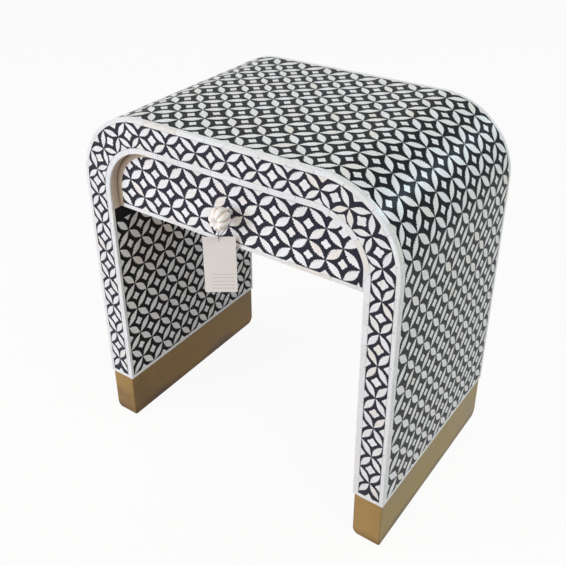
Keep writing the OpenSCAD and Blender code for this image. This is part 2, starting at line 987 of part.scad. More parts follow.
module tube(route, d, sides) {
    p = smooth(route, 3);
    n = len(p);
    points = [
        for (i = [0:n - 1])
            let (t = tangent(p, i))
            let (a = across(p, i))
            let (b = cross(t, a))
                for (k = [0:sides - 1])
                    p[i] + d / 2 * (cos(360 * k / sides) * a + sin(360 * k / sides) * b)
    ];
    walls = [
        for (i = [0:n - 2])
            for (k = [0:sides - 1])
                let (a = i * sides + k)
                let (b = i * sides + (k + 1) % sides)
                    for (f = [[a, b + sides, b], [a, a + sides, b + sides]])
                        f
    ];
    start = [for (k = [0:sides - 1]) k];
    end = [for (k = [0:sides - 1]) n * sides - 1 - k];
    polyhedron(points, concat(walls, [start, end]), convexity = 4);
}

module tag_thread() {
    color("#e8e4da")
        translate([0, face_y, knob_z])
            tube(thread_route, thread_d, 8);
}

leg_core(-1);  // left_leg_core
leg_core(1);  // right_leg_core
bend_core(-1);  // left_bend_core
bend_core(1);  // right_bend_core
top_core();
bend_dowels();
outer_resin();
outer_edging();
inner_resin(-1);  // left_inner_resin
inner_resin(1);  // right_inner_resin
inner_edging();
face_resin(front_y + resin_dip, front_y + inlay_t);  // front_resin
face_bone(front_y);  // front_bone
face_edging(front_y);  // front_edging
face_resin(back_y - inlay_t, back_y - resin_dip);  // back_resin
face_bone(back_y - inlay_t);  // back_bone
face_edging(back_y - inlay_t);  // back_edging
foot_strips();
opening_liner();
drawer_bay_lining();
back_liner();
foot_sleeve(-1);  // left_foot_sleeve
foot_sleeve(1);  // right_foot_sleeve
floor_glides();
drawer_bay_floor();
back_panel();
runner(-1);  // left_runner
runner(1);  // right_runner
guide(-1);  // left_guide
guide(1);  // right_guide
kicker(-1);  // left_kicker
kicker(1);  // right_kicker
drawer_stops();
drawer_catch();
drawer_front_core();
drawer_front_resin();
drawer_front_bone();
drawer_front_edging();
drawer_side(-1);  // drawer_left_side
drawer_side(1);  // drawer_right_side
drawer_back();
drawer_bottom();
knob_head();
knob_neck();
knob_screw();
knob_washer();
swing_tag();
tag_thread();
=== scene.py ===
import bpy, bmesh
from math import acos, atan2, cos, pi, radians, sin, sqrt
from random import Random
from mathutils import Euler, Matrix, Vector


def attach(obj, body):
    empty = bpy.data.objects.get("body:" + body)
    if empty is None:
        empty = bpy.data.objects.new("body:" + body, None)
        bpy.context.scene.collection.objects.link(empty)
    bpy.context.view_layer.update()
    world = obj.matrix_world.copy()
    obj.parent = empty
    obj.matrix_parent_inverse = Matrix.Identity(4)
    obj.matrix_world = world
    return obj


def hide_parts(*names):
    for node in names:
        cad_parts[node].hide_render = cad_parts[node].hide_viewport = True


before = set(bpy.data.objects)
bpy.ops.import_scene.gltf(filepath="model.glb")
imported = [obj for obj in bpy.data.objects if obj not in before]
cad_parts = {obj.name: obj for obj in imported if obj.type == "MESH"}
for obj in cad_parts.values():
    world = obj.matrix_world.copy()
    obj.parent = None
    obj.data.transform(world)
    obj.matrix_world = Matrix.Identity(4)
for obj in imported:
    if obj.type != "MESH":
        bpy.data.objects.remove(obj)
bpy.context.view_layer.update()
scene = bpy.context.scene
mm = 0.001


# camera, matched to the picture with one vanishing-point solve
camera = {
    "place": (0.59071, -0.87370, 0.94984),
    "turn": (60.9796, 1.1916, 36.4441),
    "lens": 50.761,
    "sensor": 36,
    "shift": (0.05147, -0.09537),
    "clip": (0.05, 50),
}
cam = bpy.data.objects.new("camera", bpy.data.cameras.new("camera"))
cam.data.sensor_width = camera["sensor"]
cam.data.sensor_fit = "HORIZONTAL"
cam.data.lens = camera["lens"]
cam.data.shift_x, cam.data.shift_y = camera["shift"]
cam.data.clip_start, cam.data.clip_end = camera["clip"]
cam.location = camera["place"]
cam.rotation_euler = Euler([radians(a) for a in camera["turn"]], "XYZ")
scene.collection.objects.link(cam)
scene.camera = cam
print("camera")


def toObject(name, data, body, *nodes):
    obj = bpy.data.objects.new(name, data)
    scene.collection.objects.link(obj)
    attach(obj, body)
    if nodes:
        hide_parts(*nodes)
    return obj


def toMesh(name, bm):
    mesh = bpy.data.meshes.new(name)
    bm.to_mesh(mesh)
    bm.free()
    return mesh


# a piece from its bmesh, smooth but for edges that turn by more than so many degrees
def toPiece(name, bm, slot, body, *nodes, sharpFrom=30):
    mesh = toMesh(name, bm)
    mesh.shade_smooth()
    mesh.set_sharp_from_angle(angle=radians(sharpFrom))
    obj = toObject(name, mesh, body, *nodes)
    print(name, len(mesh.polygons))
    return obj


# dark cotton thread, from the card's eyelet over the knob's neck and back
thread = {
    "root": (0, -144.5, 457),      # middle of the drawer face, at the knob
    "hole": (-6, -18, -35.6),      # where it pulls on the card
    "faceTurn": 35,
    "side": 1.6,                   # how far it lies off the card
    "rise": 3,                     # how far it runs up the card before it opens out
    "loop": 5.6,
    "loopY": -6.5,
    "loopFoot": (1.05, -0.4),      # across and up, in loops
    "halfWayZ": -14.8,
    "halfWay": {-1: (1.3, 1.9), 1: (0.9, 1.7)},   # left and right: across in loops, forward in loopYs
    "width": 1.0,
}


# one strand, from the card up to its side of the loop
def strand(side):
    a, r, y = radians(thread["faceTurn"]), thread["loop"], thread["loopY"]
    out = Vector((-sin(a), cos(a), 0)) * thread["side"] * side
    hole = Vector(thread["hole"])
    top = hole + Vector((0, 0, thread["rise"]))
    (across, forward), (footX, footZ) = thread["halfWay"][side], thread["loopFoot"]
    return [hole + out / 4, hole + out + Vector((0, 0, 1)), top + out + Vector((side, 0, 1)),
            Vector((side * across * r, forward * y, thread["halfWayZ"])),
            Vector((side * footX * r, y, footZ * r))]


# points along a smooth line through the places of a route
def smoothed(route, steps=4):
    points = []
    for i in range(len(route) - 1):
        a, b = route[i], route[i + 1]
        before = route[i - 1] if i else a
        after = route[i + 2] if i + 2 < len(route) else b
        for k in range(steps):
            u = k / steps
            points.append(((2 * a) + (b - before) * u + (2 * before - 5 * a + 4 * b - after) * u * u
                           + (3 * a - before - 3 * b + after) * u ** 3) / 2)
    return points + [route[-1]]


overNeck = [Vector((thread["loop"] * cos(radians(d)), thread["loopY"], thread["loop"] * sin(radians(d))))
            for d in range(180, -1, -30)]
threadRoute = strand(-1) + overNeck + strand(1)[::-1]
threadPoints = [(p + Vector(thread["root"])) * mm for p in smoothed(threadRoute)]
curve = bpy.data.curves.new("tagThread", "CURVE")
curve.dimensions = "3D"
curve.bevel_depth = 1          # the points carry the real radius
curve.bevel_resolution = 3
curve.use_fill_caps = True
spline = curve.splines.new("POLY")
spline.points.add(len(threadPoints) - 1)
for p, q in zip(spline.points, threadPoints):
    p.co, p.radius = (*q, 1), thread["width"] / 2 * mm
tagThread = toObject("tagThread", curve, "drawer", "tag_thread")
threadLength = sum((b - a).length for a, b in zip(threadPoints, threadPoints[1:]))
tuple(threadPoints[0])
print("thread", round(threadLength, 4))


# the case, in millimetres
case = {
    "outX": 260, "top": 560, "bend": 114,          # the arch outside
    "inX": 213, "inTop": 510, "inBend": 77,        # and inside
    "frontY": -159.5, "backY": 180.5, "skin": 3,   # skin is the inlay's thickness on these faces
    "footZ": 81, "stripZ": 87,                     # foot strips, over the brass
    "openZ": 402,                                  # foot of the drawer's opening
    "faceStrip": 6, "mouthStrip": 8.5, "shellStrip": 4, "innerStrip": 2,
}
skinFront, skinBack = case["frontY"] + case["skin"], case["backY"] - case["skin"]


# a line that runs up the left leg, over the top and down the right leg, and its length
def archLine(half, top, radius, foot):
    leg, bend = top - radius - foot, radius * pi / 2
    total = 2 * (leg + bend + half - radius)

    def at(s, out=0.0):
        d = min(s, total - s)
        if d < leg:
            x, z = -half - out, foot + d
        elif d < leg + bend:
            a = (d - leg) / radius
            x, z = radius - half - (radius + out) * cos(a), top - radius + (radius + out) * sin(a)
        else:
            x, z = radius - half + d - leg - bend, top + out
        return (x if s < total / 2 else -x), z
    return at, total


shellLine, shellTotal = archLine(case["outX"], case["top"], case["bend"], case["stripZ"])
rimLine, rimTotal = archLine(case["outX"], case["top"], case["bend"], case["footZ"])
mouthLine, mouthTotal = archLine(case["inX"], case["inTop"], case["inBend"], case["footZ"])
bayLine, bayTotal = archLine(case["inX"], case["inTop"], case["inBend"], case["openZ"])


# each surface turns (along, across, height over it) into a place; this one is bent along an arch
def bentSurface(line, out=1):
    def place(s, y, h):
        x, z = line(s, out * h)
        return Vector((x, y, z)) * mm
    return place


# the border of a face, along an arch
def borderOf(line, y, out):
    def place(s, t, h):
        x, z = line(s, t)
        return Vector((x, y + out * h, z)) * mm
    return place


def flatFace(y, out):
    def place(x, z, h):
        return Vector((x, y + out * h, z)) * mm
    return place


def flatSide(x, out):
    def place(y, z, h):
        return Vector((x + out * h, y, z)) * mm
    return place


# the same surface with along and across exchanged
def turned(surface):
    return lambda s, t, h: surface(t, s, h)


onShell, onRim, onReveal = bentSurface(shellLine), bentSurface(rimLine), bentSurface(bayLine, -1)
onFront, onBack = flatFace(case["frontY"], -1), flatFace(case["backY"], 1)
onInsides = flatSide(-case["inX"], 1), flatSide(case["inX"], -1)
onOutsides = flatSide(-case["outX"], -1), flatSide(case["outX"], 1)


# gives a flat bmesh a depth, and returns the faces underneath
def sunk(bm, depth):
    lower = bmesh.ops.extrude_face_region(bm, geom=bm.faces[:])["geom"]
    corners = [v for v in lower if isinstance(v, bmesh.types.BMVert)]
    bmesh.ops.translate(bm, verts=corners, vec=(0, 0, -depth))
    return [f for f in lower if isinstance(f, bmesh.types.BMFace)]


# bone pieces are drawn once at unit size, one deep, and set hundreds of times
inlaid = {
    "weld": 0.004,                 # points this close become one, at unit size
    "depth": 0.9,                  # how deep a piece sits in the resin
    "grainStep": 97,               # takes each piece to its own part of the grain
    "crease": 50,                  # edges over so many degrees are rubbed down
}


def unitMesh(name, bm):
    under = sunk(bm, 1)
    if len(under) > 1:
        bmesh.ops.dissolve_faces(bm, faces=under)
    bmesh.ops.recalc_face_normals(bm, faces=bm.faces[:])
    return toMesh(name, bm)


# a leaf of bone with filed edges
petal = {
    "seeds": range(0, 6),
    "steps": 18,                   # two to a file notch
    "fullness": 0.372,             # width, as a share of length
    "drawnOut": 1.4,               # over 1 the tips are slender
    "lean": 0.05,
    "rough": ((0.5, 1.1), (0.15, 0.8)),   # one side is filed more roughly than the other
    "notch": 0.37, "notches": (0.4, 1.1), "slip": 0.04, "crest": 0.03,
    "reach": 0.42,                 # from its middle, as a share of length
    "tipGap": 0.5, "wander": 0.2,  # in millimetres, as set
}


def unitPetal(seed):
    rng, steps = Random(seed), petal["steps"]
    bm = bmesh.new()
    bmesh.ops.create_grid(bm, x_segments=steps, y_segments=1, size=1)
    lean = rng.uniform(-petal["lean"], petal["lean"])
    rough = {side: rng.uniform(*span) for side, span in zip((1, -1), petal["rough"])}
    for v in bm.verts:
        x, side = v.co.x, 1 if v.co.y > 0 else -1
        k = round((x + 1) * steps / 2)
        half = (1 - x * x) ** petal["drawnOut"]
        if k % 2 == 1 and 0 < k < steps:
            half -= petal["notch"] * rough[side] * rng.uniform(*petal["notches"]) * half ** 0.5
            v.co.x -= petal["slip"] * (1 if x > 0 else -1) * rng.random()
        elif 0 < k < steps:
            half += petal["crest"] * rough[side] * half
        v.co.y = side * max(half, 0) + lean * (1 - x * x)
    bmesh.ops.remove_doubles(bm, verts=bm.verts[:], dist=inlaid["weld"])
    return unitMesh("petal%d" % seed, bm)


# a four-pointed cushion
star = {
    "seeds": range(20, 26),
    "sides": (1.0, 0.91, 0.76, 0.69, 0.76, 0.91),   # from a point through the hollow to the next
    "filed": (0.95, 1.04),
    "reach": 0.302, "spread": (0.94, 1.06),         # size, as a share of half a cell
}


def unitStar(seed):
    rng, sides = Random(seed), star["sides"]
    around = 4 * len(sides)
    bm = bmesh.new()
    bmesh.ops.create_circle(bm, cap_ends=True, cap_tris=True, segments=around, radius=1)
    for v in bm.verts:
        if v.co.xy.length > 0.1:   # all but the middle
            k = round(atan2(v.co.y, v.co.x) * around / (2 * pi)) % around
            v.co.xy *= sides[k % len(sides)] * rng.uniform(*star["filed"])
    return unitMesh("star%d" % seed, bm)


# the half star at a border: flat side on the strip, hollow filed sides
halfStar = {
    "seeds": range(40, 46),
    "steps": 12,
    "peak": 0.06,                  # how far its point strays
    "hollow": 1.15, "filed": (0.82, 1),
    "foot": 0.02, "height": 0.97,
    "reach": (0.31, 0.34), "spread": (0.93, 1.07),
}


def unitHalfStar(seed):
    rng, steps = Random(seed), halfStar["steps"]
    bm = bmesh.new()
    bmesh.ops.create_grid(bm, x_segments=steps, y_segments=1, size=1)
    peak = rng.uniform(-halfStar["peak"], halfStar["peak"])
    for v in bm.verts:
        x, k, rise = v.co.x, round((v.co.x + 1) * steps / 2), 0
        if 0 < k < steps:
            away = min(abs(x - peak) / (1 - peak if x > peak else 1 + peak), 1)
            rise = (1 - away) ** halfStar["hollow"] * (1 if k % 2 else rng.uniform(*halfStar["filed"]))
        v.co.y = halfStar["foot"] + (rise * halfStar["height"] if v.co.y > 0 else 0)
    bmesh.ops.remove_doubles(bm, verts=bm.verts[:], dist=inlaid["weld"])
    return unitMesh("halfStar%d" % seed, bm)


# bars of the edging
bar = {
    "pitch": (30, 58),             # shortest and longest
    "least": 0.6,                  # of the shortest, for the last one of a row
    "gap": 0.2, "depth": 2.9,
}


def unitBar(steps):
    bm = bmesh.new()
    bmesh.ops.create_grid(bm, x_segments=steps, y_segments=1, size=1)
    return unitMesh("bar%d" % steps, bm)


petals = [unitPetal(seed) for seed in petal["seeds"]]
stars = [unitStar(seed) for seed in star["seeds"]]
halfStars = [unitHalfStar(seed) for seed in halfStar["seeds"]]
straightBar, bentBar = unitBar(1), unitBar(8)


# the part of a unit piece, as placed, on the inner side of a line
def trimmed(unit, place, point, away):
    bm = bmesh.new()
    bm.from_mesh(unit)
    bm.transform(place)
    bmesh.ops.bisect_plane(bm, geom=bm.verts[:] + bm.edges[:] + bm.faces[:], dist=1e-4,
                           plane_co=(*point, 0), plane_no=(*away, 0), clear_outer=True)
    bmesh.ops.holes_fill(bm, edges=[e for e in bm.edges if e.is_boundary], sides=0)
    bm.transform(place.inverted())
    bmesh.ops.recalc_face_normals(bm, faces=bm.faces[:])
    return toMesh("trimmed", bm)


class Inlay:
    # one mesh that bone pieces are set into, each with its own tone and grain direction
    def __init__(self, seed, fullness=petal["fullness"]):
        self.bm, self.fullness = bmesh.new(), fullness
        self.tone = self.bm.verts.layers.float.new("tone")
        self.grain = self.bm.verts.layers.float_vector.new("grain")
        self.rng = Random(seed)

    # cut is a point and a direction: what lies beyond is cut off
    def set(self, unit, surface, centre, size, turn=0.0, depth=inlaid["depth"], cut=None):
        bm, first = self.bm, len(self.bm.verts)
        place = (Matrix.Translation((*centre, 0)) @ Matrix.Rotation(turn, 4, "Z")
                 @ Matrix.Diagonal((*size, depth, 1)))
        bm.from_mesh(trimmed(unit, place, *cut) if cut else unit)
        bm.verts.ensure_lookup_table()
        tone = self.rng.random()
        for v in bm.verts[first:]:
            v[self.tone] = tone
            v[self.grain] = (v.co.x * size[0], v.co.y * size[1], tone * inlaid["grainStep"])
            v.co = surface(*(place @ v.co))

    def petal(self, surface, p, q, cut=None):
        rng = self.rng
        d = Vector(q) - Vector(p)
        length = d.length - 2 * petal["tipGap"]
        stray = Vector((rng.gauss(0, 1), rng.gauss(0, 1))) * petal["wander"]
        middle = (Vector(p) + Vector(q)) / 2 + stray
        width = length * self.fullness * rng.uniform(0.95, 1.05)
        unit = rng.choice(petals)
        turn = atan2(d.y, d.x) + rng.gauss(0, 0.012)
        self.set(unit, surface, middle, (length / 2, width / 2), turn, cut=cut)

    def star(self, surface, at, cell, turn=0.0, cut=None):
        rng = self.rng
        size = [sum(cell) / 2 * star["reach"] * rng.uniform(*star["spread"]) for _ in range(2)]
        self.set(rng.choice(stars), surface, at, size, turn + rng.gauss(0, 0.03), cut=cut)

    def halfStar(self, surface, at, cell, turn=0.0, cut=None):
        rng = self.rng
        size = [c * r * rng.uniform(*halfStar["spread"]) for c, r in zip(cell, halfStar["reach"])]
        self.set(rng.choice(halfStars), surface, at, size, turn, cut=cut)

    # bars of bone, end to end, with a hair of resin between them
    def bars(self, surface, start, end, low, high, unit=straightBar, pitch=bar["pitch"]):
        s = start
        while s < end:
            e = s + self.rng.uniform(*pitch)
            if end - e < pitch[0] * bar["least"]:
                e = end
            self.set(unit, surface, ((s + e) / 2, (low + high) / 2),
                     ((e - s - bar["gap"]) / 2, (high - low) / 2), depth=bar["depth"])
            s = e

    def finish(self, name, body, *nodes, bevel=0.0):
        bm = self.bm
        bmesh.ops.recalc_face_normals(bm, faces=bm.faces[:])
        if bevel:
            crease = radians(inlaid["crease"])
            sharp = [e for e in bm.edges if len(e.link_faces) == 2 and e.calc_face_angle() > crease]
            bmesh.ops.bevel(bm, geom=sharp, offset=bevel * mm, affect="EDGES", segments=1, profile=0.5,
                            material=-1, clamp_overlap=True)
        toPiece(name, bm, "bone", body, *nodes)


def uncut(middle, reach):
    return True, None


# a lattice of petals with stars between them: petals meet where i + j is even; trim says whether a
# piece is kept, and how it is cut, near an edge that runs through the pattern
def lattice(inlay, surface, at, columns, rows, trim=uncut, sides=True):
    cell = ((at(1, 1) - at(0, 1)).length, (at(1, 1) - at(1, 0)).length)
    for i in range(columns + 1):
        for j in range(rows + 1):
            if i < columns and j < rows:
                p, q = (at(i, j), at(i + 1, j + 1)) if (i + j) % 2 == 0 else (at(i + 1, j), at(i, j + 1))
                kept, cut = trim((p + q) / 2, (q - p).length * petal["reach"])
                if kept:
                    inlay.petal(surface, p, q, cut=cut)
            kept, cut = trim(at(i, j), cell[0] * star["reach"])
            if (i + j) % 2 == 0 or not kept:
                continue
            if 0 < j < rows and 0 < i < columns:
                inlay.star(surface, at(i, j), cell, cut=cut)
            elif 0 < j < rows and sides:
                inlay.halfStar(surface, at(i, j), cell[::-1], -pi / 2 if i == 0 else pi / 2)
            elif 0 < i < columns:
                inlay.halfStar(surface, at(i, j), cell, 0 if j == 0 else pi, cut=cut)


def smoothStep(t):
    t = min(max(t, 0), 1)
    return t * t * (3 - 2 * t)


# values read off a short list of (place, values), eased from one row to the next
def eased(rows, at):
    k = 0
    while k < len(rows) - 2 and at > rows[k + 1][0]:
        k += 1
    t = smoothStep((at - rows[k][0]) / (rows[k + 1][0] - rows[k][0]))
    return [a + (b - a) * t for a, b in zip(rows[k][1:], rows[k + 1][1:])]


# outer shell: its front strip is wider down the legs than along the top
shell = {
    "columns": 57, "rows": 14, "fullness": 0.358, "stripTop": 5.5, "stripLeg": 8.5,
    "widens": (190, 150),          # from so far off the middle, over so much
    "cutBack": 0.3, "keep": 0.6,   # gap at the cut end, and how far over it a piece's middle may be
}
shellHigh = skinBack - case["shellStrip"]


def shellLow(s):
    start, over = shell["widens"]
    wider = smoothStep((abs(s - shellTotal / 2) - start) / over)
    return skinFront + shell["stripTop"] + (shell["stripLeg"] - shell["stripTop"]) * wider


# the pattern was set out by eye: how far it strays along and across the arch, at its front edge, its
# middle and its back edge, at a few places along
shellDrift = [
    (480, -18, 1, -5, 0, 12, -11),
    (590, -15.5, 4, -2.5, 1, 9.5, -8),
    (690, -9.5, -0.5, -0.5, -2, 9, -6.5),
    (800, 0, -1.5, 3, -4, 8.5, 0),
    (880, 4, -2.5, 3, -5, 8, 0.5),
    (960, 8, -2.5, 6, -1, 6.5, -0.5),
    (1050, 14.5, 5, 12.5, 6, 8, 2),
    (1160, 19, 9, 17, 8, 12, 1),
    (1300, 26, 9, 25, 9, 20, -4),
]


def shellAt(i, j):
    s, w = shellTotal * i / shell["columns"], 2 * j / shell["rows"] - 1
    drift = eased(shellDrift, s)
    front, middle, back = Vector(drift[:2]), Vector(drift[2:4]), Vector(drift[4:])
    stray = front * w * (w - 1) / 2 + middle * (1 - w * w) + back * w * (w + 1) / 2
    fade = min(1, s / shellDrift[0][0])
    s += stray.x * fade
    low = skinFront + case["shellStrip"]
    y = low + (shellHigh - low) * (w + 1) / 2 + stray.y * fade
    return Vector((s, shellLow(s) if j == 0 else min(y, shellHigh) if j < shell["rows"] else shellHigh))


# the last column runs past the foot strip, and is cut off along it
def shellCut(middle, reach):
    beyond = middle.x - shellTotal
    cut = ((shellTotal - shell["cutBack"], 0), (1, 0)) if beyond + reach > 0 else None
    return beyond < reach * shell["keep"], cut


shellBone = Inlay(1, shell["fullness"])
lattice(shellBone, onShell, shellAt, shell["columns"], shell["rows"], shellCut)
shellBone.finish("shellBone", "case")

# inner faces of the legs: the pattern stops short of the drawer
inside = {
    "columns": 14, "rows": 12, "fullness": 0.355, "firstY": -155.5, "pitch": 25.3, "shrink": 0.115,
    "rise": 24.75, "sag": 0.33, "margin": 0.2,
}
innerLow, innerHigh = skinFront + case["innerStrip"], skinBack - case["innerStrip"]


def insideAt(i, j):
    y = inside["firstY"] + inside["pitch"] * i - inside["shrink"] * i * i
    return Vector((min(max(y, innerLow + inside["margin"]), innerHigh - inside["margin"]),
                   case["stripZ"] + inside["rise"] * j - inside["sag"] * max(j - 2, 0)))


innerBone = Inlay(2, inside["fullness"])
for surface in onInsides:
    lattice(innerBone, surface, insideAt, inside["columns"], inside["rows"])
innerBone.finish("innerBone", "case")

# face bands, front and back: cells are counted from the right foot round to the left one
band = {
    "cells": 27, "pitch": 50, "fullness": 0.328, "feet": (90.5, 92),
    "right": (6.87, 10.82), "left": (16.37, 20.36),   # where each bend starts and ends
    "cell": (24.6, 24.6), "footCell": (18, 25.4),     # sizes that the stars go by
    "resin": ((-0.08, 0.18), (-0.1, 1.2)),            # start along, and more cells; start across, and width
}
# and how far along, in mm, each part of the band strays
bandDrift = [(0, -1), (2.5, -1), (4.9, 2), (6.9, -2), (8, 0), (11.2, 0), (13, -4.8), (14.2, -3.4),
             (15.2, -0.5), (17.5, 2), (20.4, 3), (21.4, 0), (24, -2.8), (25.6, 0), (26.6, 3)]
bendAt = Vector((case["inX"] - case["inBend"], case["inTop"] - case["inBend"]))
cornerAt = Vector((case["outX"] - case["bend"], case["top"] - case["bend"]))
borderX, borderZ = case["outX"] - case["faceStrip"], case["top"] - case["faceStrip"]


# the outer border of the band, seen from the middle of the inner bend
def outerBorder(a):
    d, c = Vector((cos(a), sin(a))), cornerAt - bendAt
    t = c.dot(d) + sqrt(c.dot(d) ** 2 - c.dot(c) + (case["bend"] - case["faceStrip"]) ** 2)
    if t * d.y < c.y:
        return bendAt + (borderX - bendAt.x) / cos(a) * d
    if t * d.x < c.x:
        return bendAt + (borderZ - bendAt.y) / sin(a) * d
    return bendAt + t * d


# u counts cells, and v goes from the inner border, 0, to the outer one, 1
def bandPoint(u, v):
    (r0, r1), (l0, l1) = band["right"], band["left"]
    if 0 < u < band["cells"]:
        u += eased(bandDrift, u)[0] / band["pitch"]
    side = 1 if u < (r1 + l0) / 2 else -1
    leg = u / r0 if side > 0 else (band["cells"] - u) / (band["cells"] - l1)
    bend = (u - r0) / (r1 - r0) if side > 0 else (l1 - u) / (l1 - l0)
    if leg < 1:
        foot = band["feet"][0 if side > 0 else 1]
        z = foot + (bendAt.y - foot) * leg
        a, b = Vector((case["inX"] + case["mouthStrip"], z)), Vector((borderX, z))
    elif bend < 1:
        t = pi / 2 * bend
        a, b = bendAt + (case["inBend"] + case["mouthStrip"]) * Vector((cos(t), sin(t))), outerBorder(t)
    else:
        x = bendAt.x * (1 - 2 * (u - r1) / (l0 - r1)) * side
        a, b = Vector((x, case["inTop"] + case["mouthStrip"])), Vector((x, borderZ))
    p = a.lerp(b, v)
    return Vector((p.x * side, p.y))


def bandTurn(u, v, step=0.1):
    d = bandPoint(u + step, v) - bandPoint(u - step, v)
    return atan2(d.y, d.x)


def faceBand(surface, seed, name, node):
    inlay = Inlay(seed, band["fullness"])
    for k in range(band["cells"]):
        for u in (k, k + 1):
            for v in (0, 1):
                inlay.petal(surface, bandPoint(k + 0.5, 0.5), bandPoint(u, v))
        if k:
            inlay.star(surface, bandPoint(k, 0.5), band["cell"], bandTurn(k, 0.5))
        for v in (0, 1):
            turn = bandTurn(k + 0.5, v) + pi * (1 - v)
            inlay.halfStar(surface, bandPoint(k + 0.5, v), band["cell"], turn)
    for u in (0, band["cells"]):
        inlay.halfStar(surface, (bandPoint(u, 0.5).x, case["stripZ"]), band["footCell"])
    inlay.finish(name, "case", node)


faceBand(onFront, 3, "frontBandBone", "front_bone")
faceBand(onBack, 4, "backBandBone", "back_bone")


# dark resin grounds: a sheet over a span of a surface, a little lower than the bone
def ground(name, surface, span, columns, rows, body, *nodes, lift=-0.15, depth=2.6):
    bm = bmesh.new()
    bmesh.ops.create_grid(bm, x_segments=columns, y_segments=rows, size=0.5)
    bmesh.ops.translate(bm, verts=bm.verts[:], vec=(0.5, 0.5, lift))
    sunk(bm, depth)
    for v in bm.verts:
        v.co = surface(*span(v.co.x, v.co.y), v.co.z)
    bmesh.ops.recalc_face_normals(bm, faces=bm.faces[:])
    toPiece(name, bm, "resin", body, *nodes)


# a and b go from 0 to 1; each span runs on a little under the edging
def bandSpan(a, b):
    (start, more), (low, width) = band["resin"]
    return bandPoint(start + a * (band["cells"] + more), low + width * b)


def shellSpan(a, b, under=0.5):
    low = skinFront + case["shellStrip"] - under
    return shellTotal * a, low + (shellHigh + under - low) * b


ground("shellResin", onShell, shellSpan, 228, 1, "case", "outer_resin")
ground("frontBandResin", onFront, bandSpan, 162, 1, "case", "front_resin")
ground("backBandResin", onBack, bandSpan, 162, 1, "case", "back_resin")

# bone edging, laid in short bars
for side, seed, y, out in (("front", 10, case["frontY"], -1), ("back", 11, case["backY"], 1)):
    edging = Inlay(seed)
    edging.bars(borderOf(rimLine, y, out), 0, rimTotal, -case["faceStrip"], 0, bentBar)
    edging.bars(borderOf(mouthLine, y, out), 0, mouthTotal, 0, case["mouthStrip"], bentBar)
    edging.finish(side + "Edging", "case", side + "_edging", bevel=0.25)


# the shell's front strip: t is 0 at the face and 1 at the pattern
def onFrontRim(s, t, h):
    width = shellLow(s - case["stripZ"] + case["footZ"]) - skinFront
    return onRim(s, skinFront + width * t, h)


edging = Inlay(12)
edging.bars(onFrontRim, 0, rimTotal, 0, 1, bentBar)
edging.bars(onRim, 0, rimTotal, shellHigh, skinBack, bentBar)
edging.finish("shellEdging", "case", "outer_edging", bevel=0.25)

edging = Inlay(13)
for surface in onInsides:
    for y0, y1 in ((skinFront, innerLow), (innerHigh, skinBack)):
        edging.bars(turned(surface), case["footZ"], case["openZ"], y0, y1)
edging.finish("innerEdging", "case", "inner_edging", bevel=0.2)

# a strip over each foot, on its four faces
legInner, legOuter = case["inX"] + case["mouthStrip"], borderX
footRuns = [(surface, shellLow(0), shellHigh) for surface in onOutsides]
footRuns += [(surface, innerLow, innerHigh) for surface in onInsides]
for surface in (onFront, onBack):
    footRuns += [(surface, -legOuter, -legInner), (surface, legInner, legOuter)]
footStrips = Inlay(14)
for surface, start, end in footRuns:
    footStrips.bars(surface, start, end, case["footZ"], case["stripZ"])
footStrips.finish("footStrips", "case", "foot_strips", bevel=0.25)

# reveal of the drawer opening, front and back: seed, its two ends, and the node it stands for
liner = {
    "frontReveal": (15, -156.5, -126.1, "opening_liner"),
    "backReveal": (16, 153.5, 177.5, "back_liner"),
}
for name, (seed, y0, y1, node) in liner.items():
    reveal = Inlay(seed)
    reveal.bars(onReveal, 0, bayTotal, y0, y1, bentBar, pitch=(38, 52))
    reveal.finish(name, "case", node, bevel=0.2)

# drawer front; its pattern was set out a little to the left
front = {
    "half": 211.5, "foot": 405.5, "top": 508.5, "bend": 75.5, "faceY": -144.5,
    "side": 8.5, "topStrip": 8, "footStrip": 6.5,     # widths of its bone strips
    "columns": 17, "rows": 4, "lastX": 197.4, "pitch": 25.36,
    "cutBack": 0.3, "keep": 0.5, "cornerCell": (8, 20),
    "under": 2,                                       # how far the resin runs on under the strips
}
drawerLine, drawerTotal = archLine(front["half"], front["top"], front["bend"], front["foot"])
fieldHalf, fieldBend = front["half"] - front["side"], front["bend"] - front["side"]
fieldLow, fieldHigh = front["foot"] + front["footStrip"], front["top"] - front["topStrip"]
onDrawer, alongDrawer = flatFace(front["faceY"], -1), borderOf(drawerLine, front["faceY"], -1)

# how far the rows waver along the drawer
drawerDrift = [(-190, 0.5, 0), (-140, 0.4, -1.4), (-75, 1.7, -2.6), (0, 2, 0), (50, 1.6, 1.6),
               (85, 1.6, 0.6), (120, 2.4, -1.5), (150, 2.8, -0.4), (180, 2, 1)]


def drawerAt(i, j):
    x = front["lastX"] - front["pitch"] * (front["columns"] - i)
    dx, dz = eased(drawerDrift, x)
    if j in (0, front["rows"]):
        dz = 0
    return Vector((x + dx, fieldLow + (fieldHigh - fieldLow) * j / front["rows"] + dz))


# a piece that crosses the edge of the field is cut off square to it; one nearly all outside is left out
def drawerCut(middle, reach):
    side = -1 if middle.x < 0 else 1
    d = Vector((abs(middle.x), middle.y)) - Vector((fieldHalf - fieldBend, fieldHigh - fieldBend))
    if d.x > 0 and d.y > 0:
        beyond, away = d.length - fieldBend, d.normalized()
    else:
        beyond, away = d.x - fieldBend, Vector((1, 0))
    point = Vector((abs(middle.x), middle.y)) - away * (beyond + front["cutBack"])
    cut = ((point.x * side, point.y), (away.x * side, away.y)) if beyond + reach > 0 else None
    return beyond < reach * front["keep"], cut


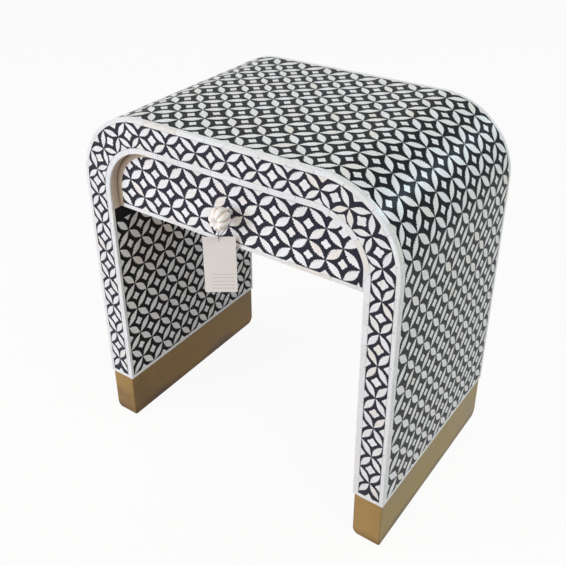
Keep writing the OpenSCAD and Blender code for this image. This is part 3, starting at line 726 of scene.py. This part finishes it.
drawerBone = Inlay(5)
lattice(drawerBone, onDrawer, drawerAt, front["columns"], front["rows"], drawerCut, sides=False)
drawerBone.halfStar(onDrawer, (front["lastX"], fieldLow), front["cornerCell"])
drawerBone.finish("drawerBone", "drawer", "drawer_front_bone")


def fieldSpan(a, b):
    under = front["under"]
    z = fieldLow - under + (fieldHigh - fieldLow + 2 * under) * b
    rise = z - (fieldHigh - fieldBend)
    reach = fieldHalf + under
    if rise > 0:
        reach = fieldHalf - fieldBend + sqrt(max((fieldBend + under) ** 2 - rise * rise, 0))
    return reach * (2 * a - 1), z


ground("drawerResin", onDrawer, fieldSpan, 2, 24, "drawer", "drawer_front_resin", depth=2.4)

# its strips; the one round the left end is of the browner bone, as painted shade where the reveal shades it
bendEnd, bendStart = (drawerTotal / 2 + side * (front["half"] - front["bend"]) for side in (-1, 1))
edging = Inlay(18)
edging.bars(alongDrawer, 0, bendEnd, -front["side"], 0, bentBar)
edging.finish("drawerEndStrip", "drawer", "drawer_front_edging", bevel=0.25)
edging = Inlay(17)
edging.bars(alongDrawer, bendStart, drawerTotal, -front["side"], 0, bentBar)
edging.bars(alongDrawer, bendEnd, bendStart, -front["topStrip"], 0)
edging.bars(onDrawer, -fieldHalf, fieldHalf, front["foot"], fieldLow)
edging.finish("drawerEdging", "drawer", "drawer_front_edging", bevel=0.25)

# brass sleeves, folded up from sheet: soft at the left and the heel, tight at the front
sleeve = {
    "legX": 236.5, "half": 22, "y": (-158, 179), "low": 2,
    "corner": 2.5, "cornerSteps": 7, "sheet": 1.2,
    "left": 10, "right": 1.6, "front": 1.6, "heel": 14,   # radii of the lower edges
    "levels": (0, 0, 0.1, 0.4, 0.8, 1.6, 2.5, 3.6, 5, 6.7, 8.8, 11.2, 14, 40, 79),
    "lip": (79, 70),                                      # and down inside its mouth
}


# how far a rounded lower edge draws in at a height
def drawnIn(height, radius):
    d = max(radius - height, 0)
    return radius - sqrt(radius * radius - d * d)


def sleevePoint(legX, k, row):
    height = (sleeve["levels"] + sleeve["lip"])[row]
    x0, x1 = (legX + side * (sleeve["half"] - drawnIn(height, sleeve[name]))
              for side, name in ((-1, "left"), (1, "right")))
    y0, y1 = (y - side * drawnIn(height, sleeve[name])
              for y, side, name in zip(sleeve["y"], (-1, 1), ("front", "heel")))
    if row == 0:
        return Vector(((x0 + x1) / 2, (y0 + y1) / 2, sleeve["low"])) * mm
    edge, steps = sleeve["corner"], sleeve["cornerSteps"]
    r = edge - (sleeve["sheet"] if row >= len(sleeve["levels"]) else 0)
    quarter, step = divmod(k % (4 * steps), steps)
    a = pi / 2 * (quarter + step / (steps - 1))
    x = (x1 - edge if quarter in (0, 3) else x0 + edge) + r * cos(a)
    y = (y1 - edge if quarter < 2 else y0 + edge) + r * sin(a)
    return Vector((x, y, sleeve["low"] + height)) * mm


for name, side in (("left", -1), ("right", 1)):
    bm = bmesh.new()
    around, rows = 4 * sleeve["cornerSteps"], len(sleeve["levels"] + sleeve["lip"]) - 1
    bmesh.ops.create_grid(bm, x_segments=around, y_segments=rows, size=0.5)
    for v in bm.verts:
        k, row = round((v.co.x + 0.5) * around), round((v.co.y + 0.5) * rows)
        v.co = sleevePoint(side * sleeve["legX"], k, row)
    bmesh.ops.remove_doubles(bm, verts=bm.verts[:], dist=1e-6)
    bmesh.ops.recalc_face_normals(bm, faces=bm.faces[:])
    toPiece(name + "Brass", bm, "sleeve_brass", "case", name + "_foot_sleeve", sharpFrom=40)

# lobed knob: a thick ring closed to a bud, its front a little off the middle
knob = {
    "at": (0, -167.5, 457),
    "rim": 5.7, "bulge": 10.2,     # radius of the ring, and how far it bulges round that
    "half": (13.6, 13.0),          # depth behind the ring and in front
    "lobes": 8, "groove": 2.5, "fold": 0.7,
    "swirl": 20,                   # degrees from neck to dimple
    "dimple": 5.0, "dimpleReach": 11,
    "lean": (2.6, -1.4),
    "segments": (192, 64),
}


# 1 on the crown of a lobe, 0 down in a groove; s goes from 0 at the neck to 1 in the dimple
def lobeAt(s, a):
    return abs(sin(knob["lobes"] * (a - radians(knob["swirl"]) * s) / 2)) ** knob["fold"]


def headPoint(s, a):
    pole = pi - acos(knob["rim"] / knob["bulge"])
    t = pole * (1 - 2 * s)
    groove = knob["groove"] * (1 - lobeAt(s, a)) * sqrt(max(sin(pi * s), 0))
    rho = max(knob["rim"] + (knob["bulge"] - groove) * cos(t), 0)
    dip = knob["dimple"] * max(1 - rho / knob["dimpleReach"], 0) ** 2 if s > 0.5 else 0
    half, lean = knob["half"][1 if t < 0 else 0] - groove, max(-sin(t), 0)
    x, y, z = knob["at"]
    dx, dz = knob["lean"]
    return Vector((x + rho * cos(a) + dx * lean, y + half * sin(t) + dip, z + rho * sin(a) + dz * lean)) * mm


bm = bmesh.new()
groove = bm.verts.layers.float.new("groove")
bmesh.ops.create_uvsphere(bm, u_segments=knob["segments"][0], v_segments=knob["segments"][1], radius=1)
for v in bm.verts:
    s, a = acos(max(-1, min(1, v.co.z))) / pi, atan2(v.co.y, v.co.x)
    v.co, v[groove] = headPoint(s, a), (1 - lobeAt(s, a)) * sin(pi * s)
bmesh.ops.recalc_face_normals(bm, faces=bm.faces[:])
knobHead = toPiece("knobHead", bm, "knob_bone", "drawer", "knob_head", sharpFrom=180)   # smooth all over

# its neck, turned on a lathe: radius and distance from the drawer face
neck = {"turns": 48, "profile": ((0, 0), (5, 0), (5, 13.2), (4.6, 13.6), (0, 13.6))}
bm = bmesh.new()
points = [bm.verts.new(Vector((r, front["faceY"] - d, knob["at"][2])) * mm) for r, d in neck["profile"]]
edges = [bm.edges.new(pair) for pair in zip(points, points[1:])]
bmesh.ops.spin(bm, geom=points + edges, cent=Vector((0, 0, knob["at"][2])) * mm, axis=(0, 1, 0),
               angle=2 * pi, steps=neck["turns"], use_merge=True)
bmesh.ops.remove_doubles(bm, verts=bm.verts[:], dist=1e-6)
bmesh.ops.recalc_face_normals(bm, faces=bm.faces[:])
knobNeck = toPiece("knobNeck", bm, "knob_bone", "drawer", "knob_neck", sharpFrom=35)


def rgb(hexCode):
    values = [int(hexCode[i:i + 2], 16) / 255 for i in (1, 3, 5)]
    return tuple(v / 12.92 if v <= 0.04045 else ((v + 0.055) / 1.055) ** 2.4 for v in values) + (1,)


# adds a node with its settings and links: a setting is an input, a property or the stops of a ramp, and
# a link comes from a socket, or from a node, whose first output in use is then taken
def add(tree, kind, settings={}, links={}):
    node = tree.nodes.new("ShaderNode" + kind)
    for key, value in settings.items():
        if key == "stops":
            elements = node.color_ramp.elements
            while len(elements) < len(value):
                elements.new(0.5)
            for element, (at, colour) in zip(elements, value):
                element.position, element.color = at, rgb(colour)
        elif isinstance(key, int) or key in node.inputs:
            node.inputs[key].default_value = value
        else:
            setattr(node, key, value)
    for key, value in links.items():
        if isinstance(value, bpy.types.Node):
            value = [socket for socket in value.outputs if socket.enabled][0]
        tree.links.new(value, node.inputs[key])
    return node


def emptyTree(owner):
    owner.use_nodes = True
    owner.node_tree.nodes.clear()
    return owner.node_tree


# a new material, its tree, and the place on the object in millimetres
def newMaterial(name):
    mat = bpy.data.materials.new(name)
    tree = emptyTree(mat)
    metres = add(tree, "TexCoord").outputs["Object"]
    return mat, tree, add(tree, "VectorMath", {"operation": "SCALE", "Scale": 1 / mm}, {0: metres})


# blotches of a size in millimetres, drawn out by the stretch; most of their values lie in a narrow span
def blotches(tree, place, size, stretch=(1, 1, 1), detail=3, roughness=0.5):
    spread = add(tree, "Mapping", {"Scale": [1 / size / k for k in stretch]}, {"Vector": place})
    return add(tree, "TexNoise", {"Scale": 1, "Detail": detail, "Roughness": roughness}, {"Vector": spread})


blotchSpan = {"From Min": 0.3, "From Max": 0.7}


# a colour with a second one over it that follows a pattern, and darkens it in part
def tinted(tree, colour, pattern, stops, share=1.0):
    tint = add(tree, "ValToRGB", {"stops": stops}, {"Fac": pattern})
    return add(tree, "Mix", {"data_type": "RGBA", "blend_type": "MULTIPLY", 0: share}, {6: colour, 7: tint})


# the finished surface: its colour, a relief of a depth in millimetres, and a roughness that may go from
# one value to another with a pattern
def surfaced(mat, settings, colour, relief, depth, rough=None):
    tree = mat.node_tree
    links = {"Base Color": colour}
    links["Normal"] = add(tree, "Bump", {"Strength": 1, "Distance": depth * mm}, {"Height": relief})
    if rough:
        pattern, low, high, span = rough
        links["Roughness"] = add(tree, "MapRange", {**span, "To Min": low, "To Max": high}, {"Value": pattern})
    shader = add(tree, "BsdfPrincipled", settings, links)
    add(tree, "OutputMaterial", {}, {"Surface": shader})
    return mat


# bone, sawn thin, set in resin and sanded flush: every piece its own white, with faint streaks and
# short pores along it and a soft polish
def polishedBone(name, *whites):
    mat, tree, place = newMaterial(name)
    grain = add(tree, "Attribute", {"attribute_name": "grain"}).outputs["Vector"]
    tone = add(tree, "Attribute", {"attribute_name": "tone"}).outputs["Fac"]
    streak = blotches(tree, grain, 1.4, (7, 1, 1), 3, 0.6)
    pore = blotches(tree, grain, 0.45, (4, 1, 1), 1)
    colour = add(tree, "ValToRGB", {"stops": whites}, {"Fac": tone})
    colour = tinted(tree, colour, streak, ((0.4, "#FFFFFF"), (0.8, "#DCD6CE")), 0.6)
    colour = tinted(tree, colour, pore, ((0.66, "#FFFFFF"), (0.76, "#B9AD9E")), 0.5)
    pits = add(tree, "MapRange", {"From Min": 0.6, "From Max": 0.8, "To Min": 1, "To Max": 0}, {"Value": pore})
    return surfaced(mat, {"IOR": 1.54, "Coat Weight": 0.15, "Coat Roughness": 0.25}, colour, pits, 0.05,
                    (streak, 0.3, 0.42, blotchSpan))


# black resin, poured round the bone and sanded with it: nearly black, cloudy with bone dust, with a dull satin
# that varies where the pad passed. Its copies carry painted light: blue-violet and shinier on the faces and
# drawer for a painted bluish sheen, cooler and duller on the shell, and warmer and duller inside the legs as
# painted shade
def sandedResin(name, shine, rough, dark, light):
    mat, tree, place = newMaterial(name)
    cloud, swirl = blotches(tree, place, 16, detail=4), blotches(tree, place, 1.1, (3, 1, 1))
    speck = blotches(tree, place, 0.6, detail=1)
    colour = add(tree, "ValToRGB", {"stops": ((0.3, dark), (0.7, light))}, {"Fac": cloud})
    colour = tinted(tree, colour, speck, ((0.2, "#FFFFFF"), (0.28, "#E0E0E0")))
    return surfaced(mat, {"Specular IOR Level": shine}, colour, speck, 0.02,
                    (swirl, rough - 0.06, rough + 0.06, blotchSpan))


# brass sheet, brushed level, aged with a brown wash and lacquered: a dull sheen with fine brush lines, clouds
# of brown and a darker lower edge; the faces between the legs are tinted browner as painted shade, and the
# right foot's outer face greener as painted cool light
def agedBrassWithPaintedLight():
    mat, tree, place = newMaterial("aged_brass")
    patch, brush = blotches(tree, place, 55, (1.5, 1.5, 1), 4), blotches(tree, place, 0.6, (60, 60, 1), 2)
    axes = add(tree, "SeparateXYZ", {}, {0: place}).outputs
    rise = add(tree, "MapRange", {"From Max": 22, "To Max": 0.75}, {"Value": axes["Z"]})
    cloud = add(tree, "MapRange", {**blotchSpan, "To Min": -0.2, "To Max": 0.35}, {"Value": patch})
    lowerDark = add(tree, "Math", {"operation": "ADD"}, {0: rise, 1: cloud})
    across = add(tree, "Math", {"operation": "ABSOLUTE"}, {0: axes["X"]})
    inner, outer = sleeve["legX"] - sleeve["half"], sleeve["legX"] + sleeve["half"]
    # painted shade: the sleeve faces between the legs are tinted browner
    betweenLegsShade = add(tree, "MapRange", {"From Min": inner + 0.2, "From Max": inner + 3}, {"Value": across})
    # painted light: the right foot's outer face is tinted greener, for cool light from the right
    rightFaceCoolLight = add(tree, "MapRange", {"From Min": outer - 2, "From Max": outer - 0.2}, {"Value": axes["X"]})
    colour = add(tree, "ValToRGB", {"stops": ((0.3, "#9C7D49"), (0.7, "#AE9059"))}, {"Fac": patch})
    for pattern, stops in ((lowerDark, ((0, "#948066"), (0.8, "#FFFFFF"))),
                           (brush, ((0.3, "#EEE9E0"), (0.7, "#FFFFFF"))),
                           (betweenLegsShade, ((0, "#BEB89A"), (1, "#FFFFFF"))),
                           (rightFaceCoolLight, ((0, "#FFF9F0"), (1, "#E6F2E4")))):
        colour = tinted(tree, colour, pattern, stops)
    return surfaced(mat, {"Metallic": 0.45}, colour, brush, 0.02, (patch, 0.42, 0.55, blotchSpan))


# mango wood, planed: growth bands that wander along the board, darker streaks and open pores
def planedWood(name, light, dark, along=(14, 1, 1)):
    mat, tree, place = newMaterial(name)
    growth = blotches(tree, place, 9, along, 4, 0.55)
    fibre = blotches(tree, place, 0.8, [k * 2 for k in along], 2)
    pore = blotches(tree, place, 0.5, [k / 2 + 0.5 for k in along], 1)
    colour = add(tree, "ValToRGB", {"stops": ((0.32, dark), (0.5, light), (0.68, dark))}, {"Fac": growth})
    colour = tinted(tree, colour, fibre, ((0.3, "#D9CCBC"), (0.7, "#FFFFFF")), 0.8)
    colour = tinted(tree, colour, pore, ((0.64, "#FFFFFF"), (0.72, "#8A7458")), 0.7)
    pits = add(tree, "MapRange", {"From Min": 0.6, "From Max": 0.75, "To Min": 1, "To Max": 0},
               {"Value": pore})
    return surfaced(mat, {"Specular IOR Level": 0.35}, colour, pits, 0.12, (fibre, 0.5, 0.68, blotchSpan))


# bone, turned, filed into lobes and polished: ivory on the crowns, tinted browner down the grooves as painted
# shade
def carvedBone():
    mat, tree, place = newMaterial("carved_bone")
    groove = add(tree, "Attribute", {"attribute_name": "groove"}).outputs["Fac"]
    vein = blotches(tree, place, 1.5, (1, 5, 1), 3, 0.6)
    colour = add(tree, "ValToRGB", {"stops": ((0.35, "#FCF6F3"), (0.75, "#F4EAE4"))}, {"Fac": vein})
    # painted shade: the grooves are tinted browner
    colour = tinted(tree, colour, groove, ((0.2, "#FFFFFF"), (0.5, "#F2EAE3"), (0.85, "#CBBBAC")))
    return surfaced(mat, {"IOR": 1.54, "Coat Weight": 0.3, "Coat Roughness": 0.2,
                          "Subsurface Weight": 0.06, "Subsurface Scale": 0.002}, colour, vein, 0.03,
                    (groove, 0.28, 0.6, {"From Min": 0, "From Max": 1}))


# pressed card with a matt face: paper fibres, and thin grey ruled lines across its lower half
card = {
    "hole": (-6, -162.5, 420), "turn": 35,
    "linesAcross": (-12, 19), "linesDown": (-76.6, -53.8), "pitch": 5.7, "line": 0.4,
}


def printedCard():
    mat, tree, place = newMaterial("pressed_card")
    turn = {"vector_type": "TEXTURE", "Location": card["hole"], "Rotation": (0, 0, radians(card["turn"]))}
    axes = add(tree, "SeparateXYZ", {}, {0: add(tree, "Mapping", turn, {"Vector": place})}).outputs
    low, high = card["linesDown"]
    rise = add(tree, "Math", {"operation": "SUBTRACT", 1: low}, {0: axes["Z"]})
    saw = add(tree, "Math", {"operation": "PINGPONG", 1: card["pitch"] / 2}, {0: rise})
    mask = add(tree, "Math", {"operation": "LESS_THAN", 1: card["line"] / 2}, {0: saw})
    for axis, (a, b) in (("X", card["linesAcross"]), ("Z", (low - 1, high + 1))):
        within = add(tree, "Math", {"operation": "COMPARE", 1: (a + b) / 2, 2: (b - a) / 2}, {0: axes[axis]})
        mask = add(tree, "Math", {"operation": "MULTIPLY"}, {0: mask, 1: within})
    fibre = blotches(tree, place, 0.35, (3, 3, 1), 3)
    paper = add(tree, "ValToRGB", {"stops": ((0.3, "#F2E9E4"), (0.7, "#F8F0EC"))}, {"Fac": fibre})
    colour = add(tree, "Mix", {"data_type": "RGBA", 7: rgb("#9A9691")}, {0: mask, 6: paper})
    return surfaced(mat, {"Roughness": 0.75, "Specular IOR Level": 0.2}, colour, fibre, 0.02)


# cotton thread, dyed nearly black, two plies twisted: slanting ridges and a soft fuzz
def twistedCotton():
    mat, tree, place = newMaterial("twisted_cotton")
    ply = add(tree, "TexWave", {"bands_direction": "DIAGONAL", "Scale": 0.35, "Distortion": 0.6},
              {"Vector": place}).outputs["Fac"]
    colour = add(tree, "ValToRGB", {"stops": ((0.1, "#2C2628"), (0.6, "#544C4D"))}, {"Fac": ply})
    return surfaced(mat, {"Roughness": 0.9, "Sheen Weight": 0.3}, colour, ply, 0.1)


# moulded nylon: black with a fine spark-eroded grain
def mouldedNylon():
    mat, tree, place = newMaterial("moulded_nylon")
    pit = blotches(tree, place, 0.5, detail=2)
    colour = add(tree, "ValToRGB", {"stops": ((0.3, "#1E1E1F"), (0.7, "#2C2C2D"))}, {"Fac": pit})
    return surfaced(mat, {"Specular IOR Level": 0.4}, colour, pit, 0.05, (pit, 0.45, 0.65, blotchSpan))


# zinc-plated steel, drawn and tumbled: faint bluish bands and small scuffs
def platedSteel():
    mat, tree, place = newMaterial("plated_steel")
    bluing, scuff = blotches(tree, place, 3, (1, 4, 1)), blotches(tree, place, 0.4, (4, 1, 1), 2)
    colour = add(tree, "ValToRGB", {"stops": ((0.3, "#A9ACB0"), (0.7, "#C2C3C2"))}, {"Fac": bluing})
    return surfaced(mat, {"Metallic": 1.0}, colour, scuff, 0.02, (scuff, 0.25, 0.45, blotchSpan))


mango, paleWood = ("#A87C50", "#8A6039"), ("#C2A27A", "#A98759")
finishes = {
    "bone": polishedBone("polished_bone", (0, "#F1F2F4"), (0.5, "#EAEAEB"), (0.88, "#EEEDEC"),
                         (1, "#ECE7E0")),
    # a lighter copy of the bone for the drawer front: painted light, as the recessed drawer gets less light
    # than the band
    "paintedLightBone": polishedBone("scraped_bone", (0, "#FAFBFD"), (0.5, "#F4F4F6"), (0.88, "#F7F5F3"),
                              (1, "#F4EEE6")),
    # browner bone: the reveals' own beige, and on the drawer's left end strip painted shade
    "beigeAndShadedBone": polishedBone("limed_bone", (0, "#CDBBA9"), (0.5, "#C3B09B"), (1, "#B8A58F")),
    # copies of one resin as painted light: a blue-violet painted sheen on the faces and drawer, a cool tint on
    # the shell, painted shade inside the legs
    "resin": sandedResin("sanded_resin", 0.2, 0.4, "#1F1E2E", "#2A293B"),
    "shellResin": sandedResin("worn_resin", 0.035, 0.3, "#191B20", "#22262C"),
    "innerResin": sandedResin("inner_resin", 0.04, 0.45, "#1A171A", "#242024"),
    "brass": agedBrassWithPaintedLight(), "card": printedCard(), "thread": twistedCotton(),
    "knob": carvedBone(), "glide": mouldedNylon(), "steel": platedSteel(),
    "case": planedWood("mango_wood", *mango), "upright": planedWood("mango_legs", *mango, (1, 1, 14)),
    "drawer": planedWood("drawer_wood", *paleWood),
    "drawerSide": planedWood("drawer_side_wood", *paleWood, (1, 14, 1)),
}
nodeFinish = {
    "innerResin": ("left_inner_resin", "right_inner_resin"),
    "glide": ("floor_glides",), "steel": ("knob_screw", "knob_washer"),
    "card": ("swing_tag",), "upright": ("left_leg_core", "right_leg_core"),
    "drawer": ("drawer_front_core", "drawer_back", "drawer_bottom"),
    "drawerSide": ("drawer_left_side", "drawer_right_side"),
}
# by the ending of a piece's name; where two fit, the later one holds
pieceFinish = {
    "Resin": "resin", "shellResin": "shellResin", "Brass": "brass",
    "Bone": "bone", "drawerBone": "paintedLightBone",
    "Edging": "bone", "Strips": "bone", "EndStrip": "beigeAndShadedBone", "Reveal": "beigeAndShadedBone",
}


def paint(finish, *objects):
    for obj in objects:
        obj.data.materials.clear()
        obj.data.materials.append(finishes[finish])


paint("case", *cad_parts.values())
for finish, names in nodeFinish.items():
    paint(finish, *[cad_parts[name] for name in names])
for ending, finish in pieceFinish.items():
    paint(finish, *[obj for obj in bpy.data.objects if obj.type == "MESH" and obj.name.endswith(ending)])
paint("knob", knobHead, knobNeck)
paint("thread", tagThread)
print("materials")


# a strength for what the camera sees, also in reflections and through glass, and 0 for other light
def seenOr(tree, strength):
    ray = add(tree, "LightPath").outputs
    seen = ray["Is Camera Ray"]
    for name in ("Is Glossy Ray", "Is Transmission Ray"):
        seen = add(tree, "Math", {"operation": "MAXIMUM"}, {0: seen, 1: ray[name]})
    return add(tree, "Math", {"operation": "MULTIPLY", 1: strength}, {0: seen})


room = {
    "light": "#E9EDF2", "strength": 0.46,
    "floor": "#D8CEC4", "floorSize": 6, "floorWhite": 1.03, "floorGlow": 0.9,
}
scene.world = bpy.data.worlds.new("room")
tree = emptyTree(scene.world)
lit = add(tree, "Background", {"Color": rgb(room["light"]), "Strength": room["strength"]})
white = add(tree, "Background", {"Color": rgb("#FFFFFF"), "Strength": 1})
mix = add(tree, "MixShader", {}, {0: seenOr(tree, 1), 1: lit, 2: white})
add(tree, "OutputWorld", {}, {"Surface": mix})

bm = bmesh.new()
bmesh.ops.create_grid(bm, x_segments=1, y_segments=1, size=room["floorSize"])
floor = bpy.data.objects.new("floor", toMesh("floor", bm))
scene.collection.objects.link(floor)
paleFloor = bpy.data.materials.new("pale_floor")
tree = emptyTree(paleFloor)
matt = add(tree, "BsdfDiffuse", {"Color": rgb(room["floor"])})
glow = add(tree, "Emission", {"Color": rgb("#FFFFFF"), "Strength": room["floorWhite"]})
mix = add(tree, "MixShader", {}, {0: seenOr(tree, room["floorGlow"]), 1: matt, 2: glow})
add(tree, "OutputMaterial", {}, {"Surface": mix})
floor.data.materials.append(paleFloor)

# place, aim and size in metres, power in watts, colour
lamps = {
    "key": ((-1.7, -2.5, 1.15), (0, 0, 0.35), 1.5, 58, "#EEF3FF"),
    "top": ((-0.1, -1.2, 2.6), (0, 0, 0.5), 1.8, 9, "#FFDAB2"),
    "window": ((1.6, -0.6, 2.7), (0.24, 0, 0.5), 1.0, 24, "#DCEFEA"),
    "farWindow": ((1.48, 2.2, 1.65), (0.22, 0, 0.5), 0.35, 13, "#BCDAEC"),
}
for name, (place, aim, size, power, colour) in lamps.items():
    data = bpy.data.lights.new(name, "AREA")
    data.size, data.energy, data.color = size, power, rgb(colour)[:3]
    lamp = bpy.data.objects.new(name, data)
    lamp.location = place
    lamp.rotation_euler = (Vector(aim) - Vector(place)).to_track_quat("-Z", "Y").to_euler()
    scene.collection.objects.link(lamp)
print("room")

scene.view_settings.view_transform = "Standard"
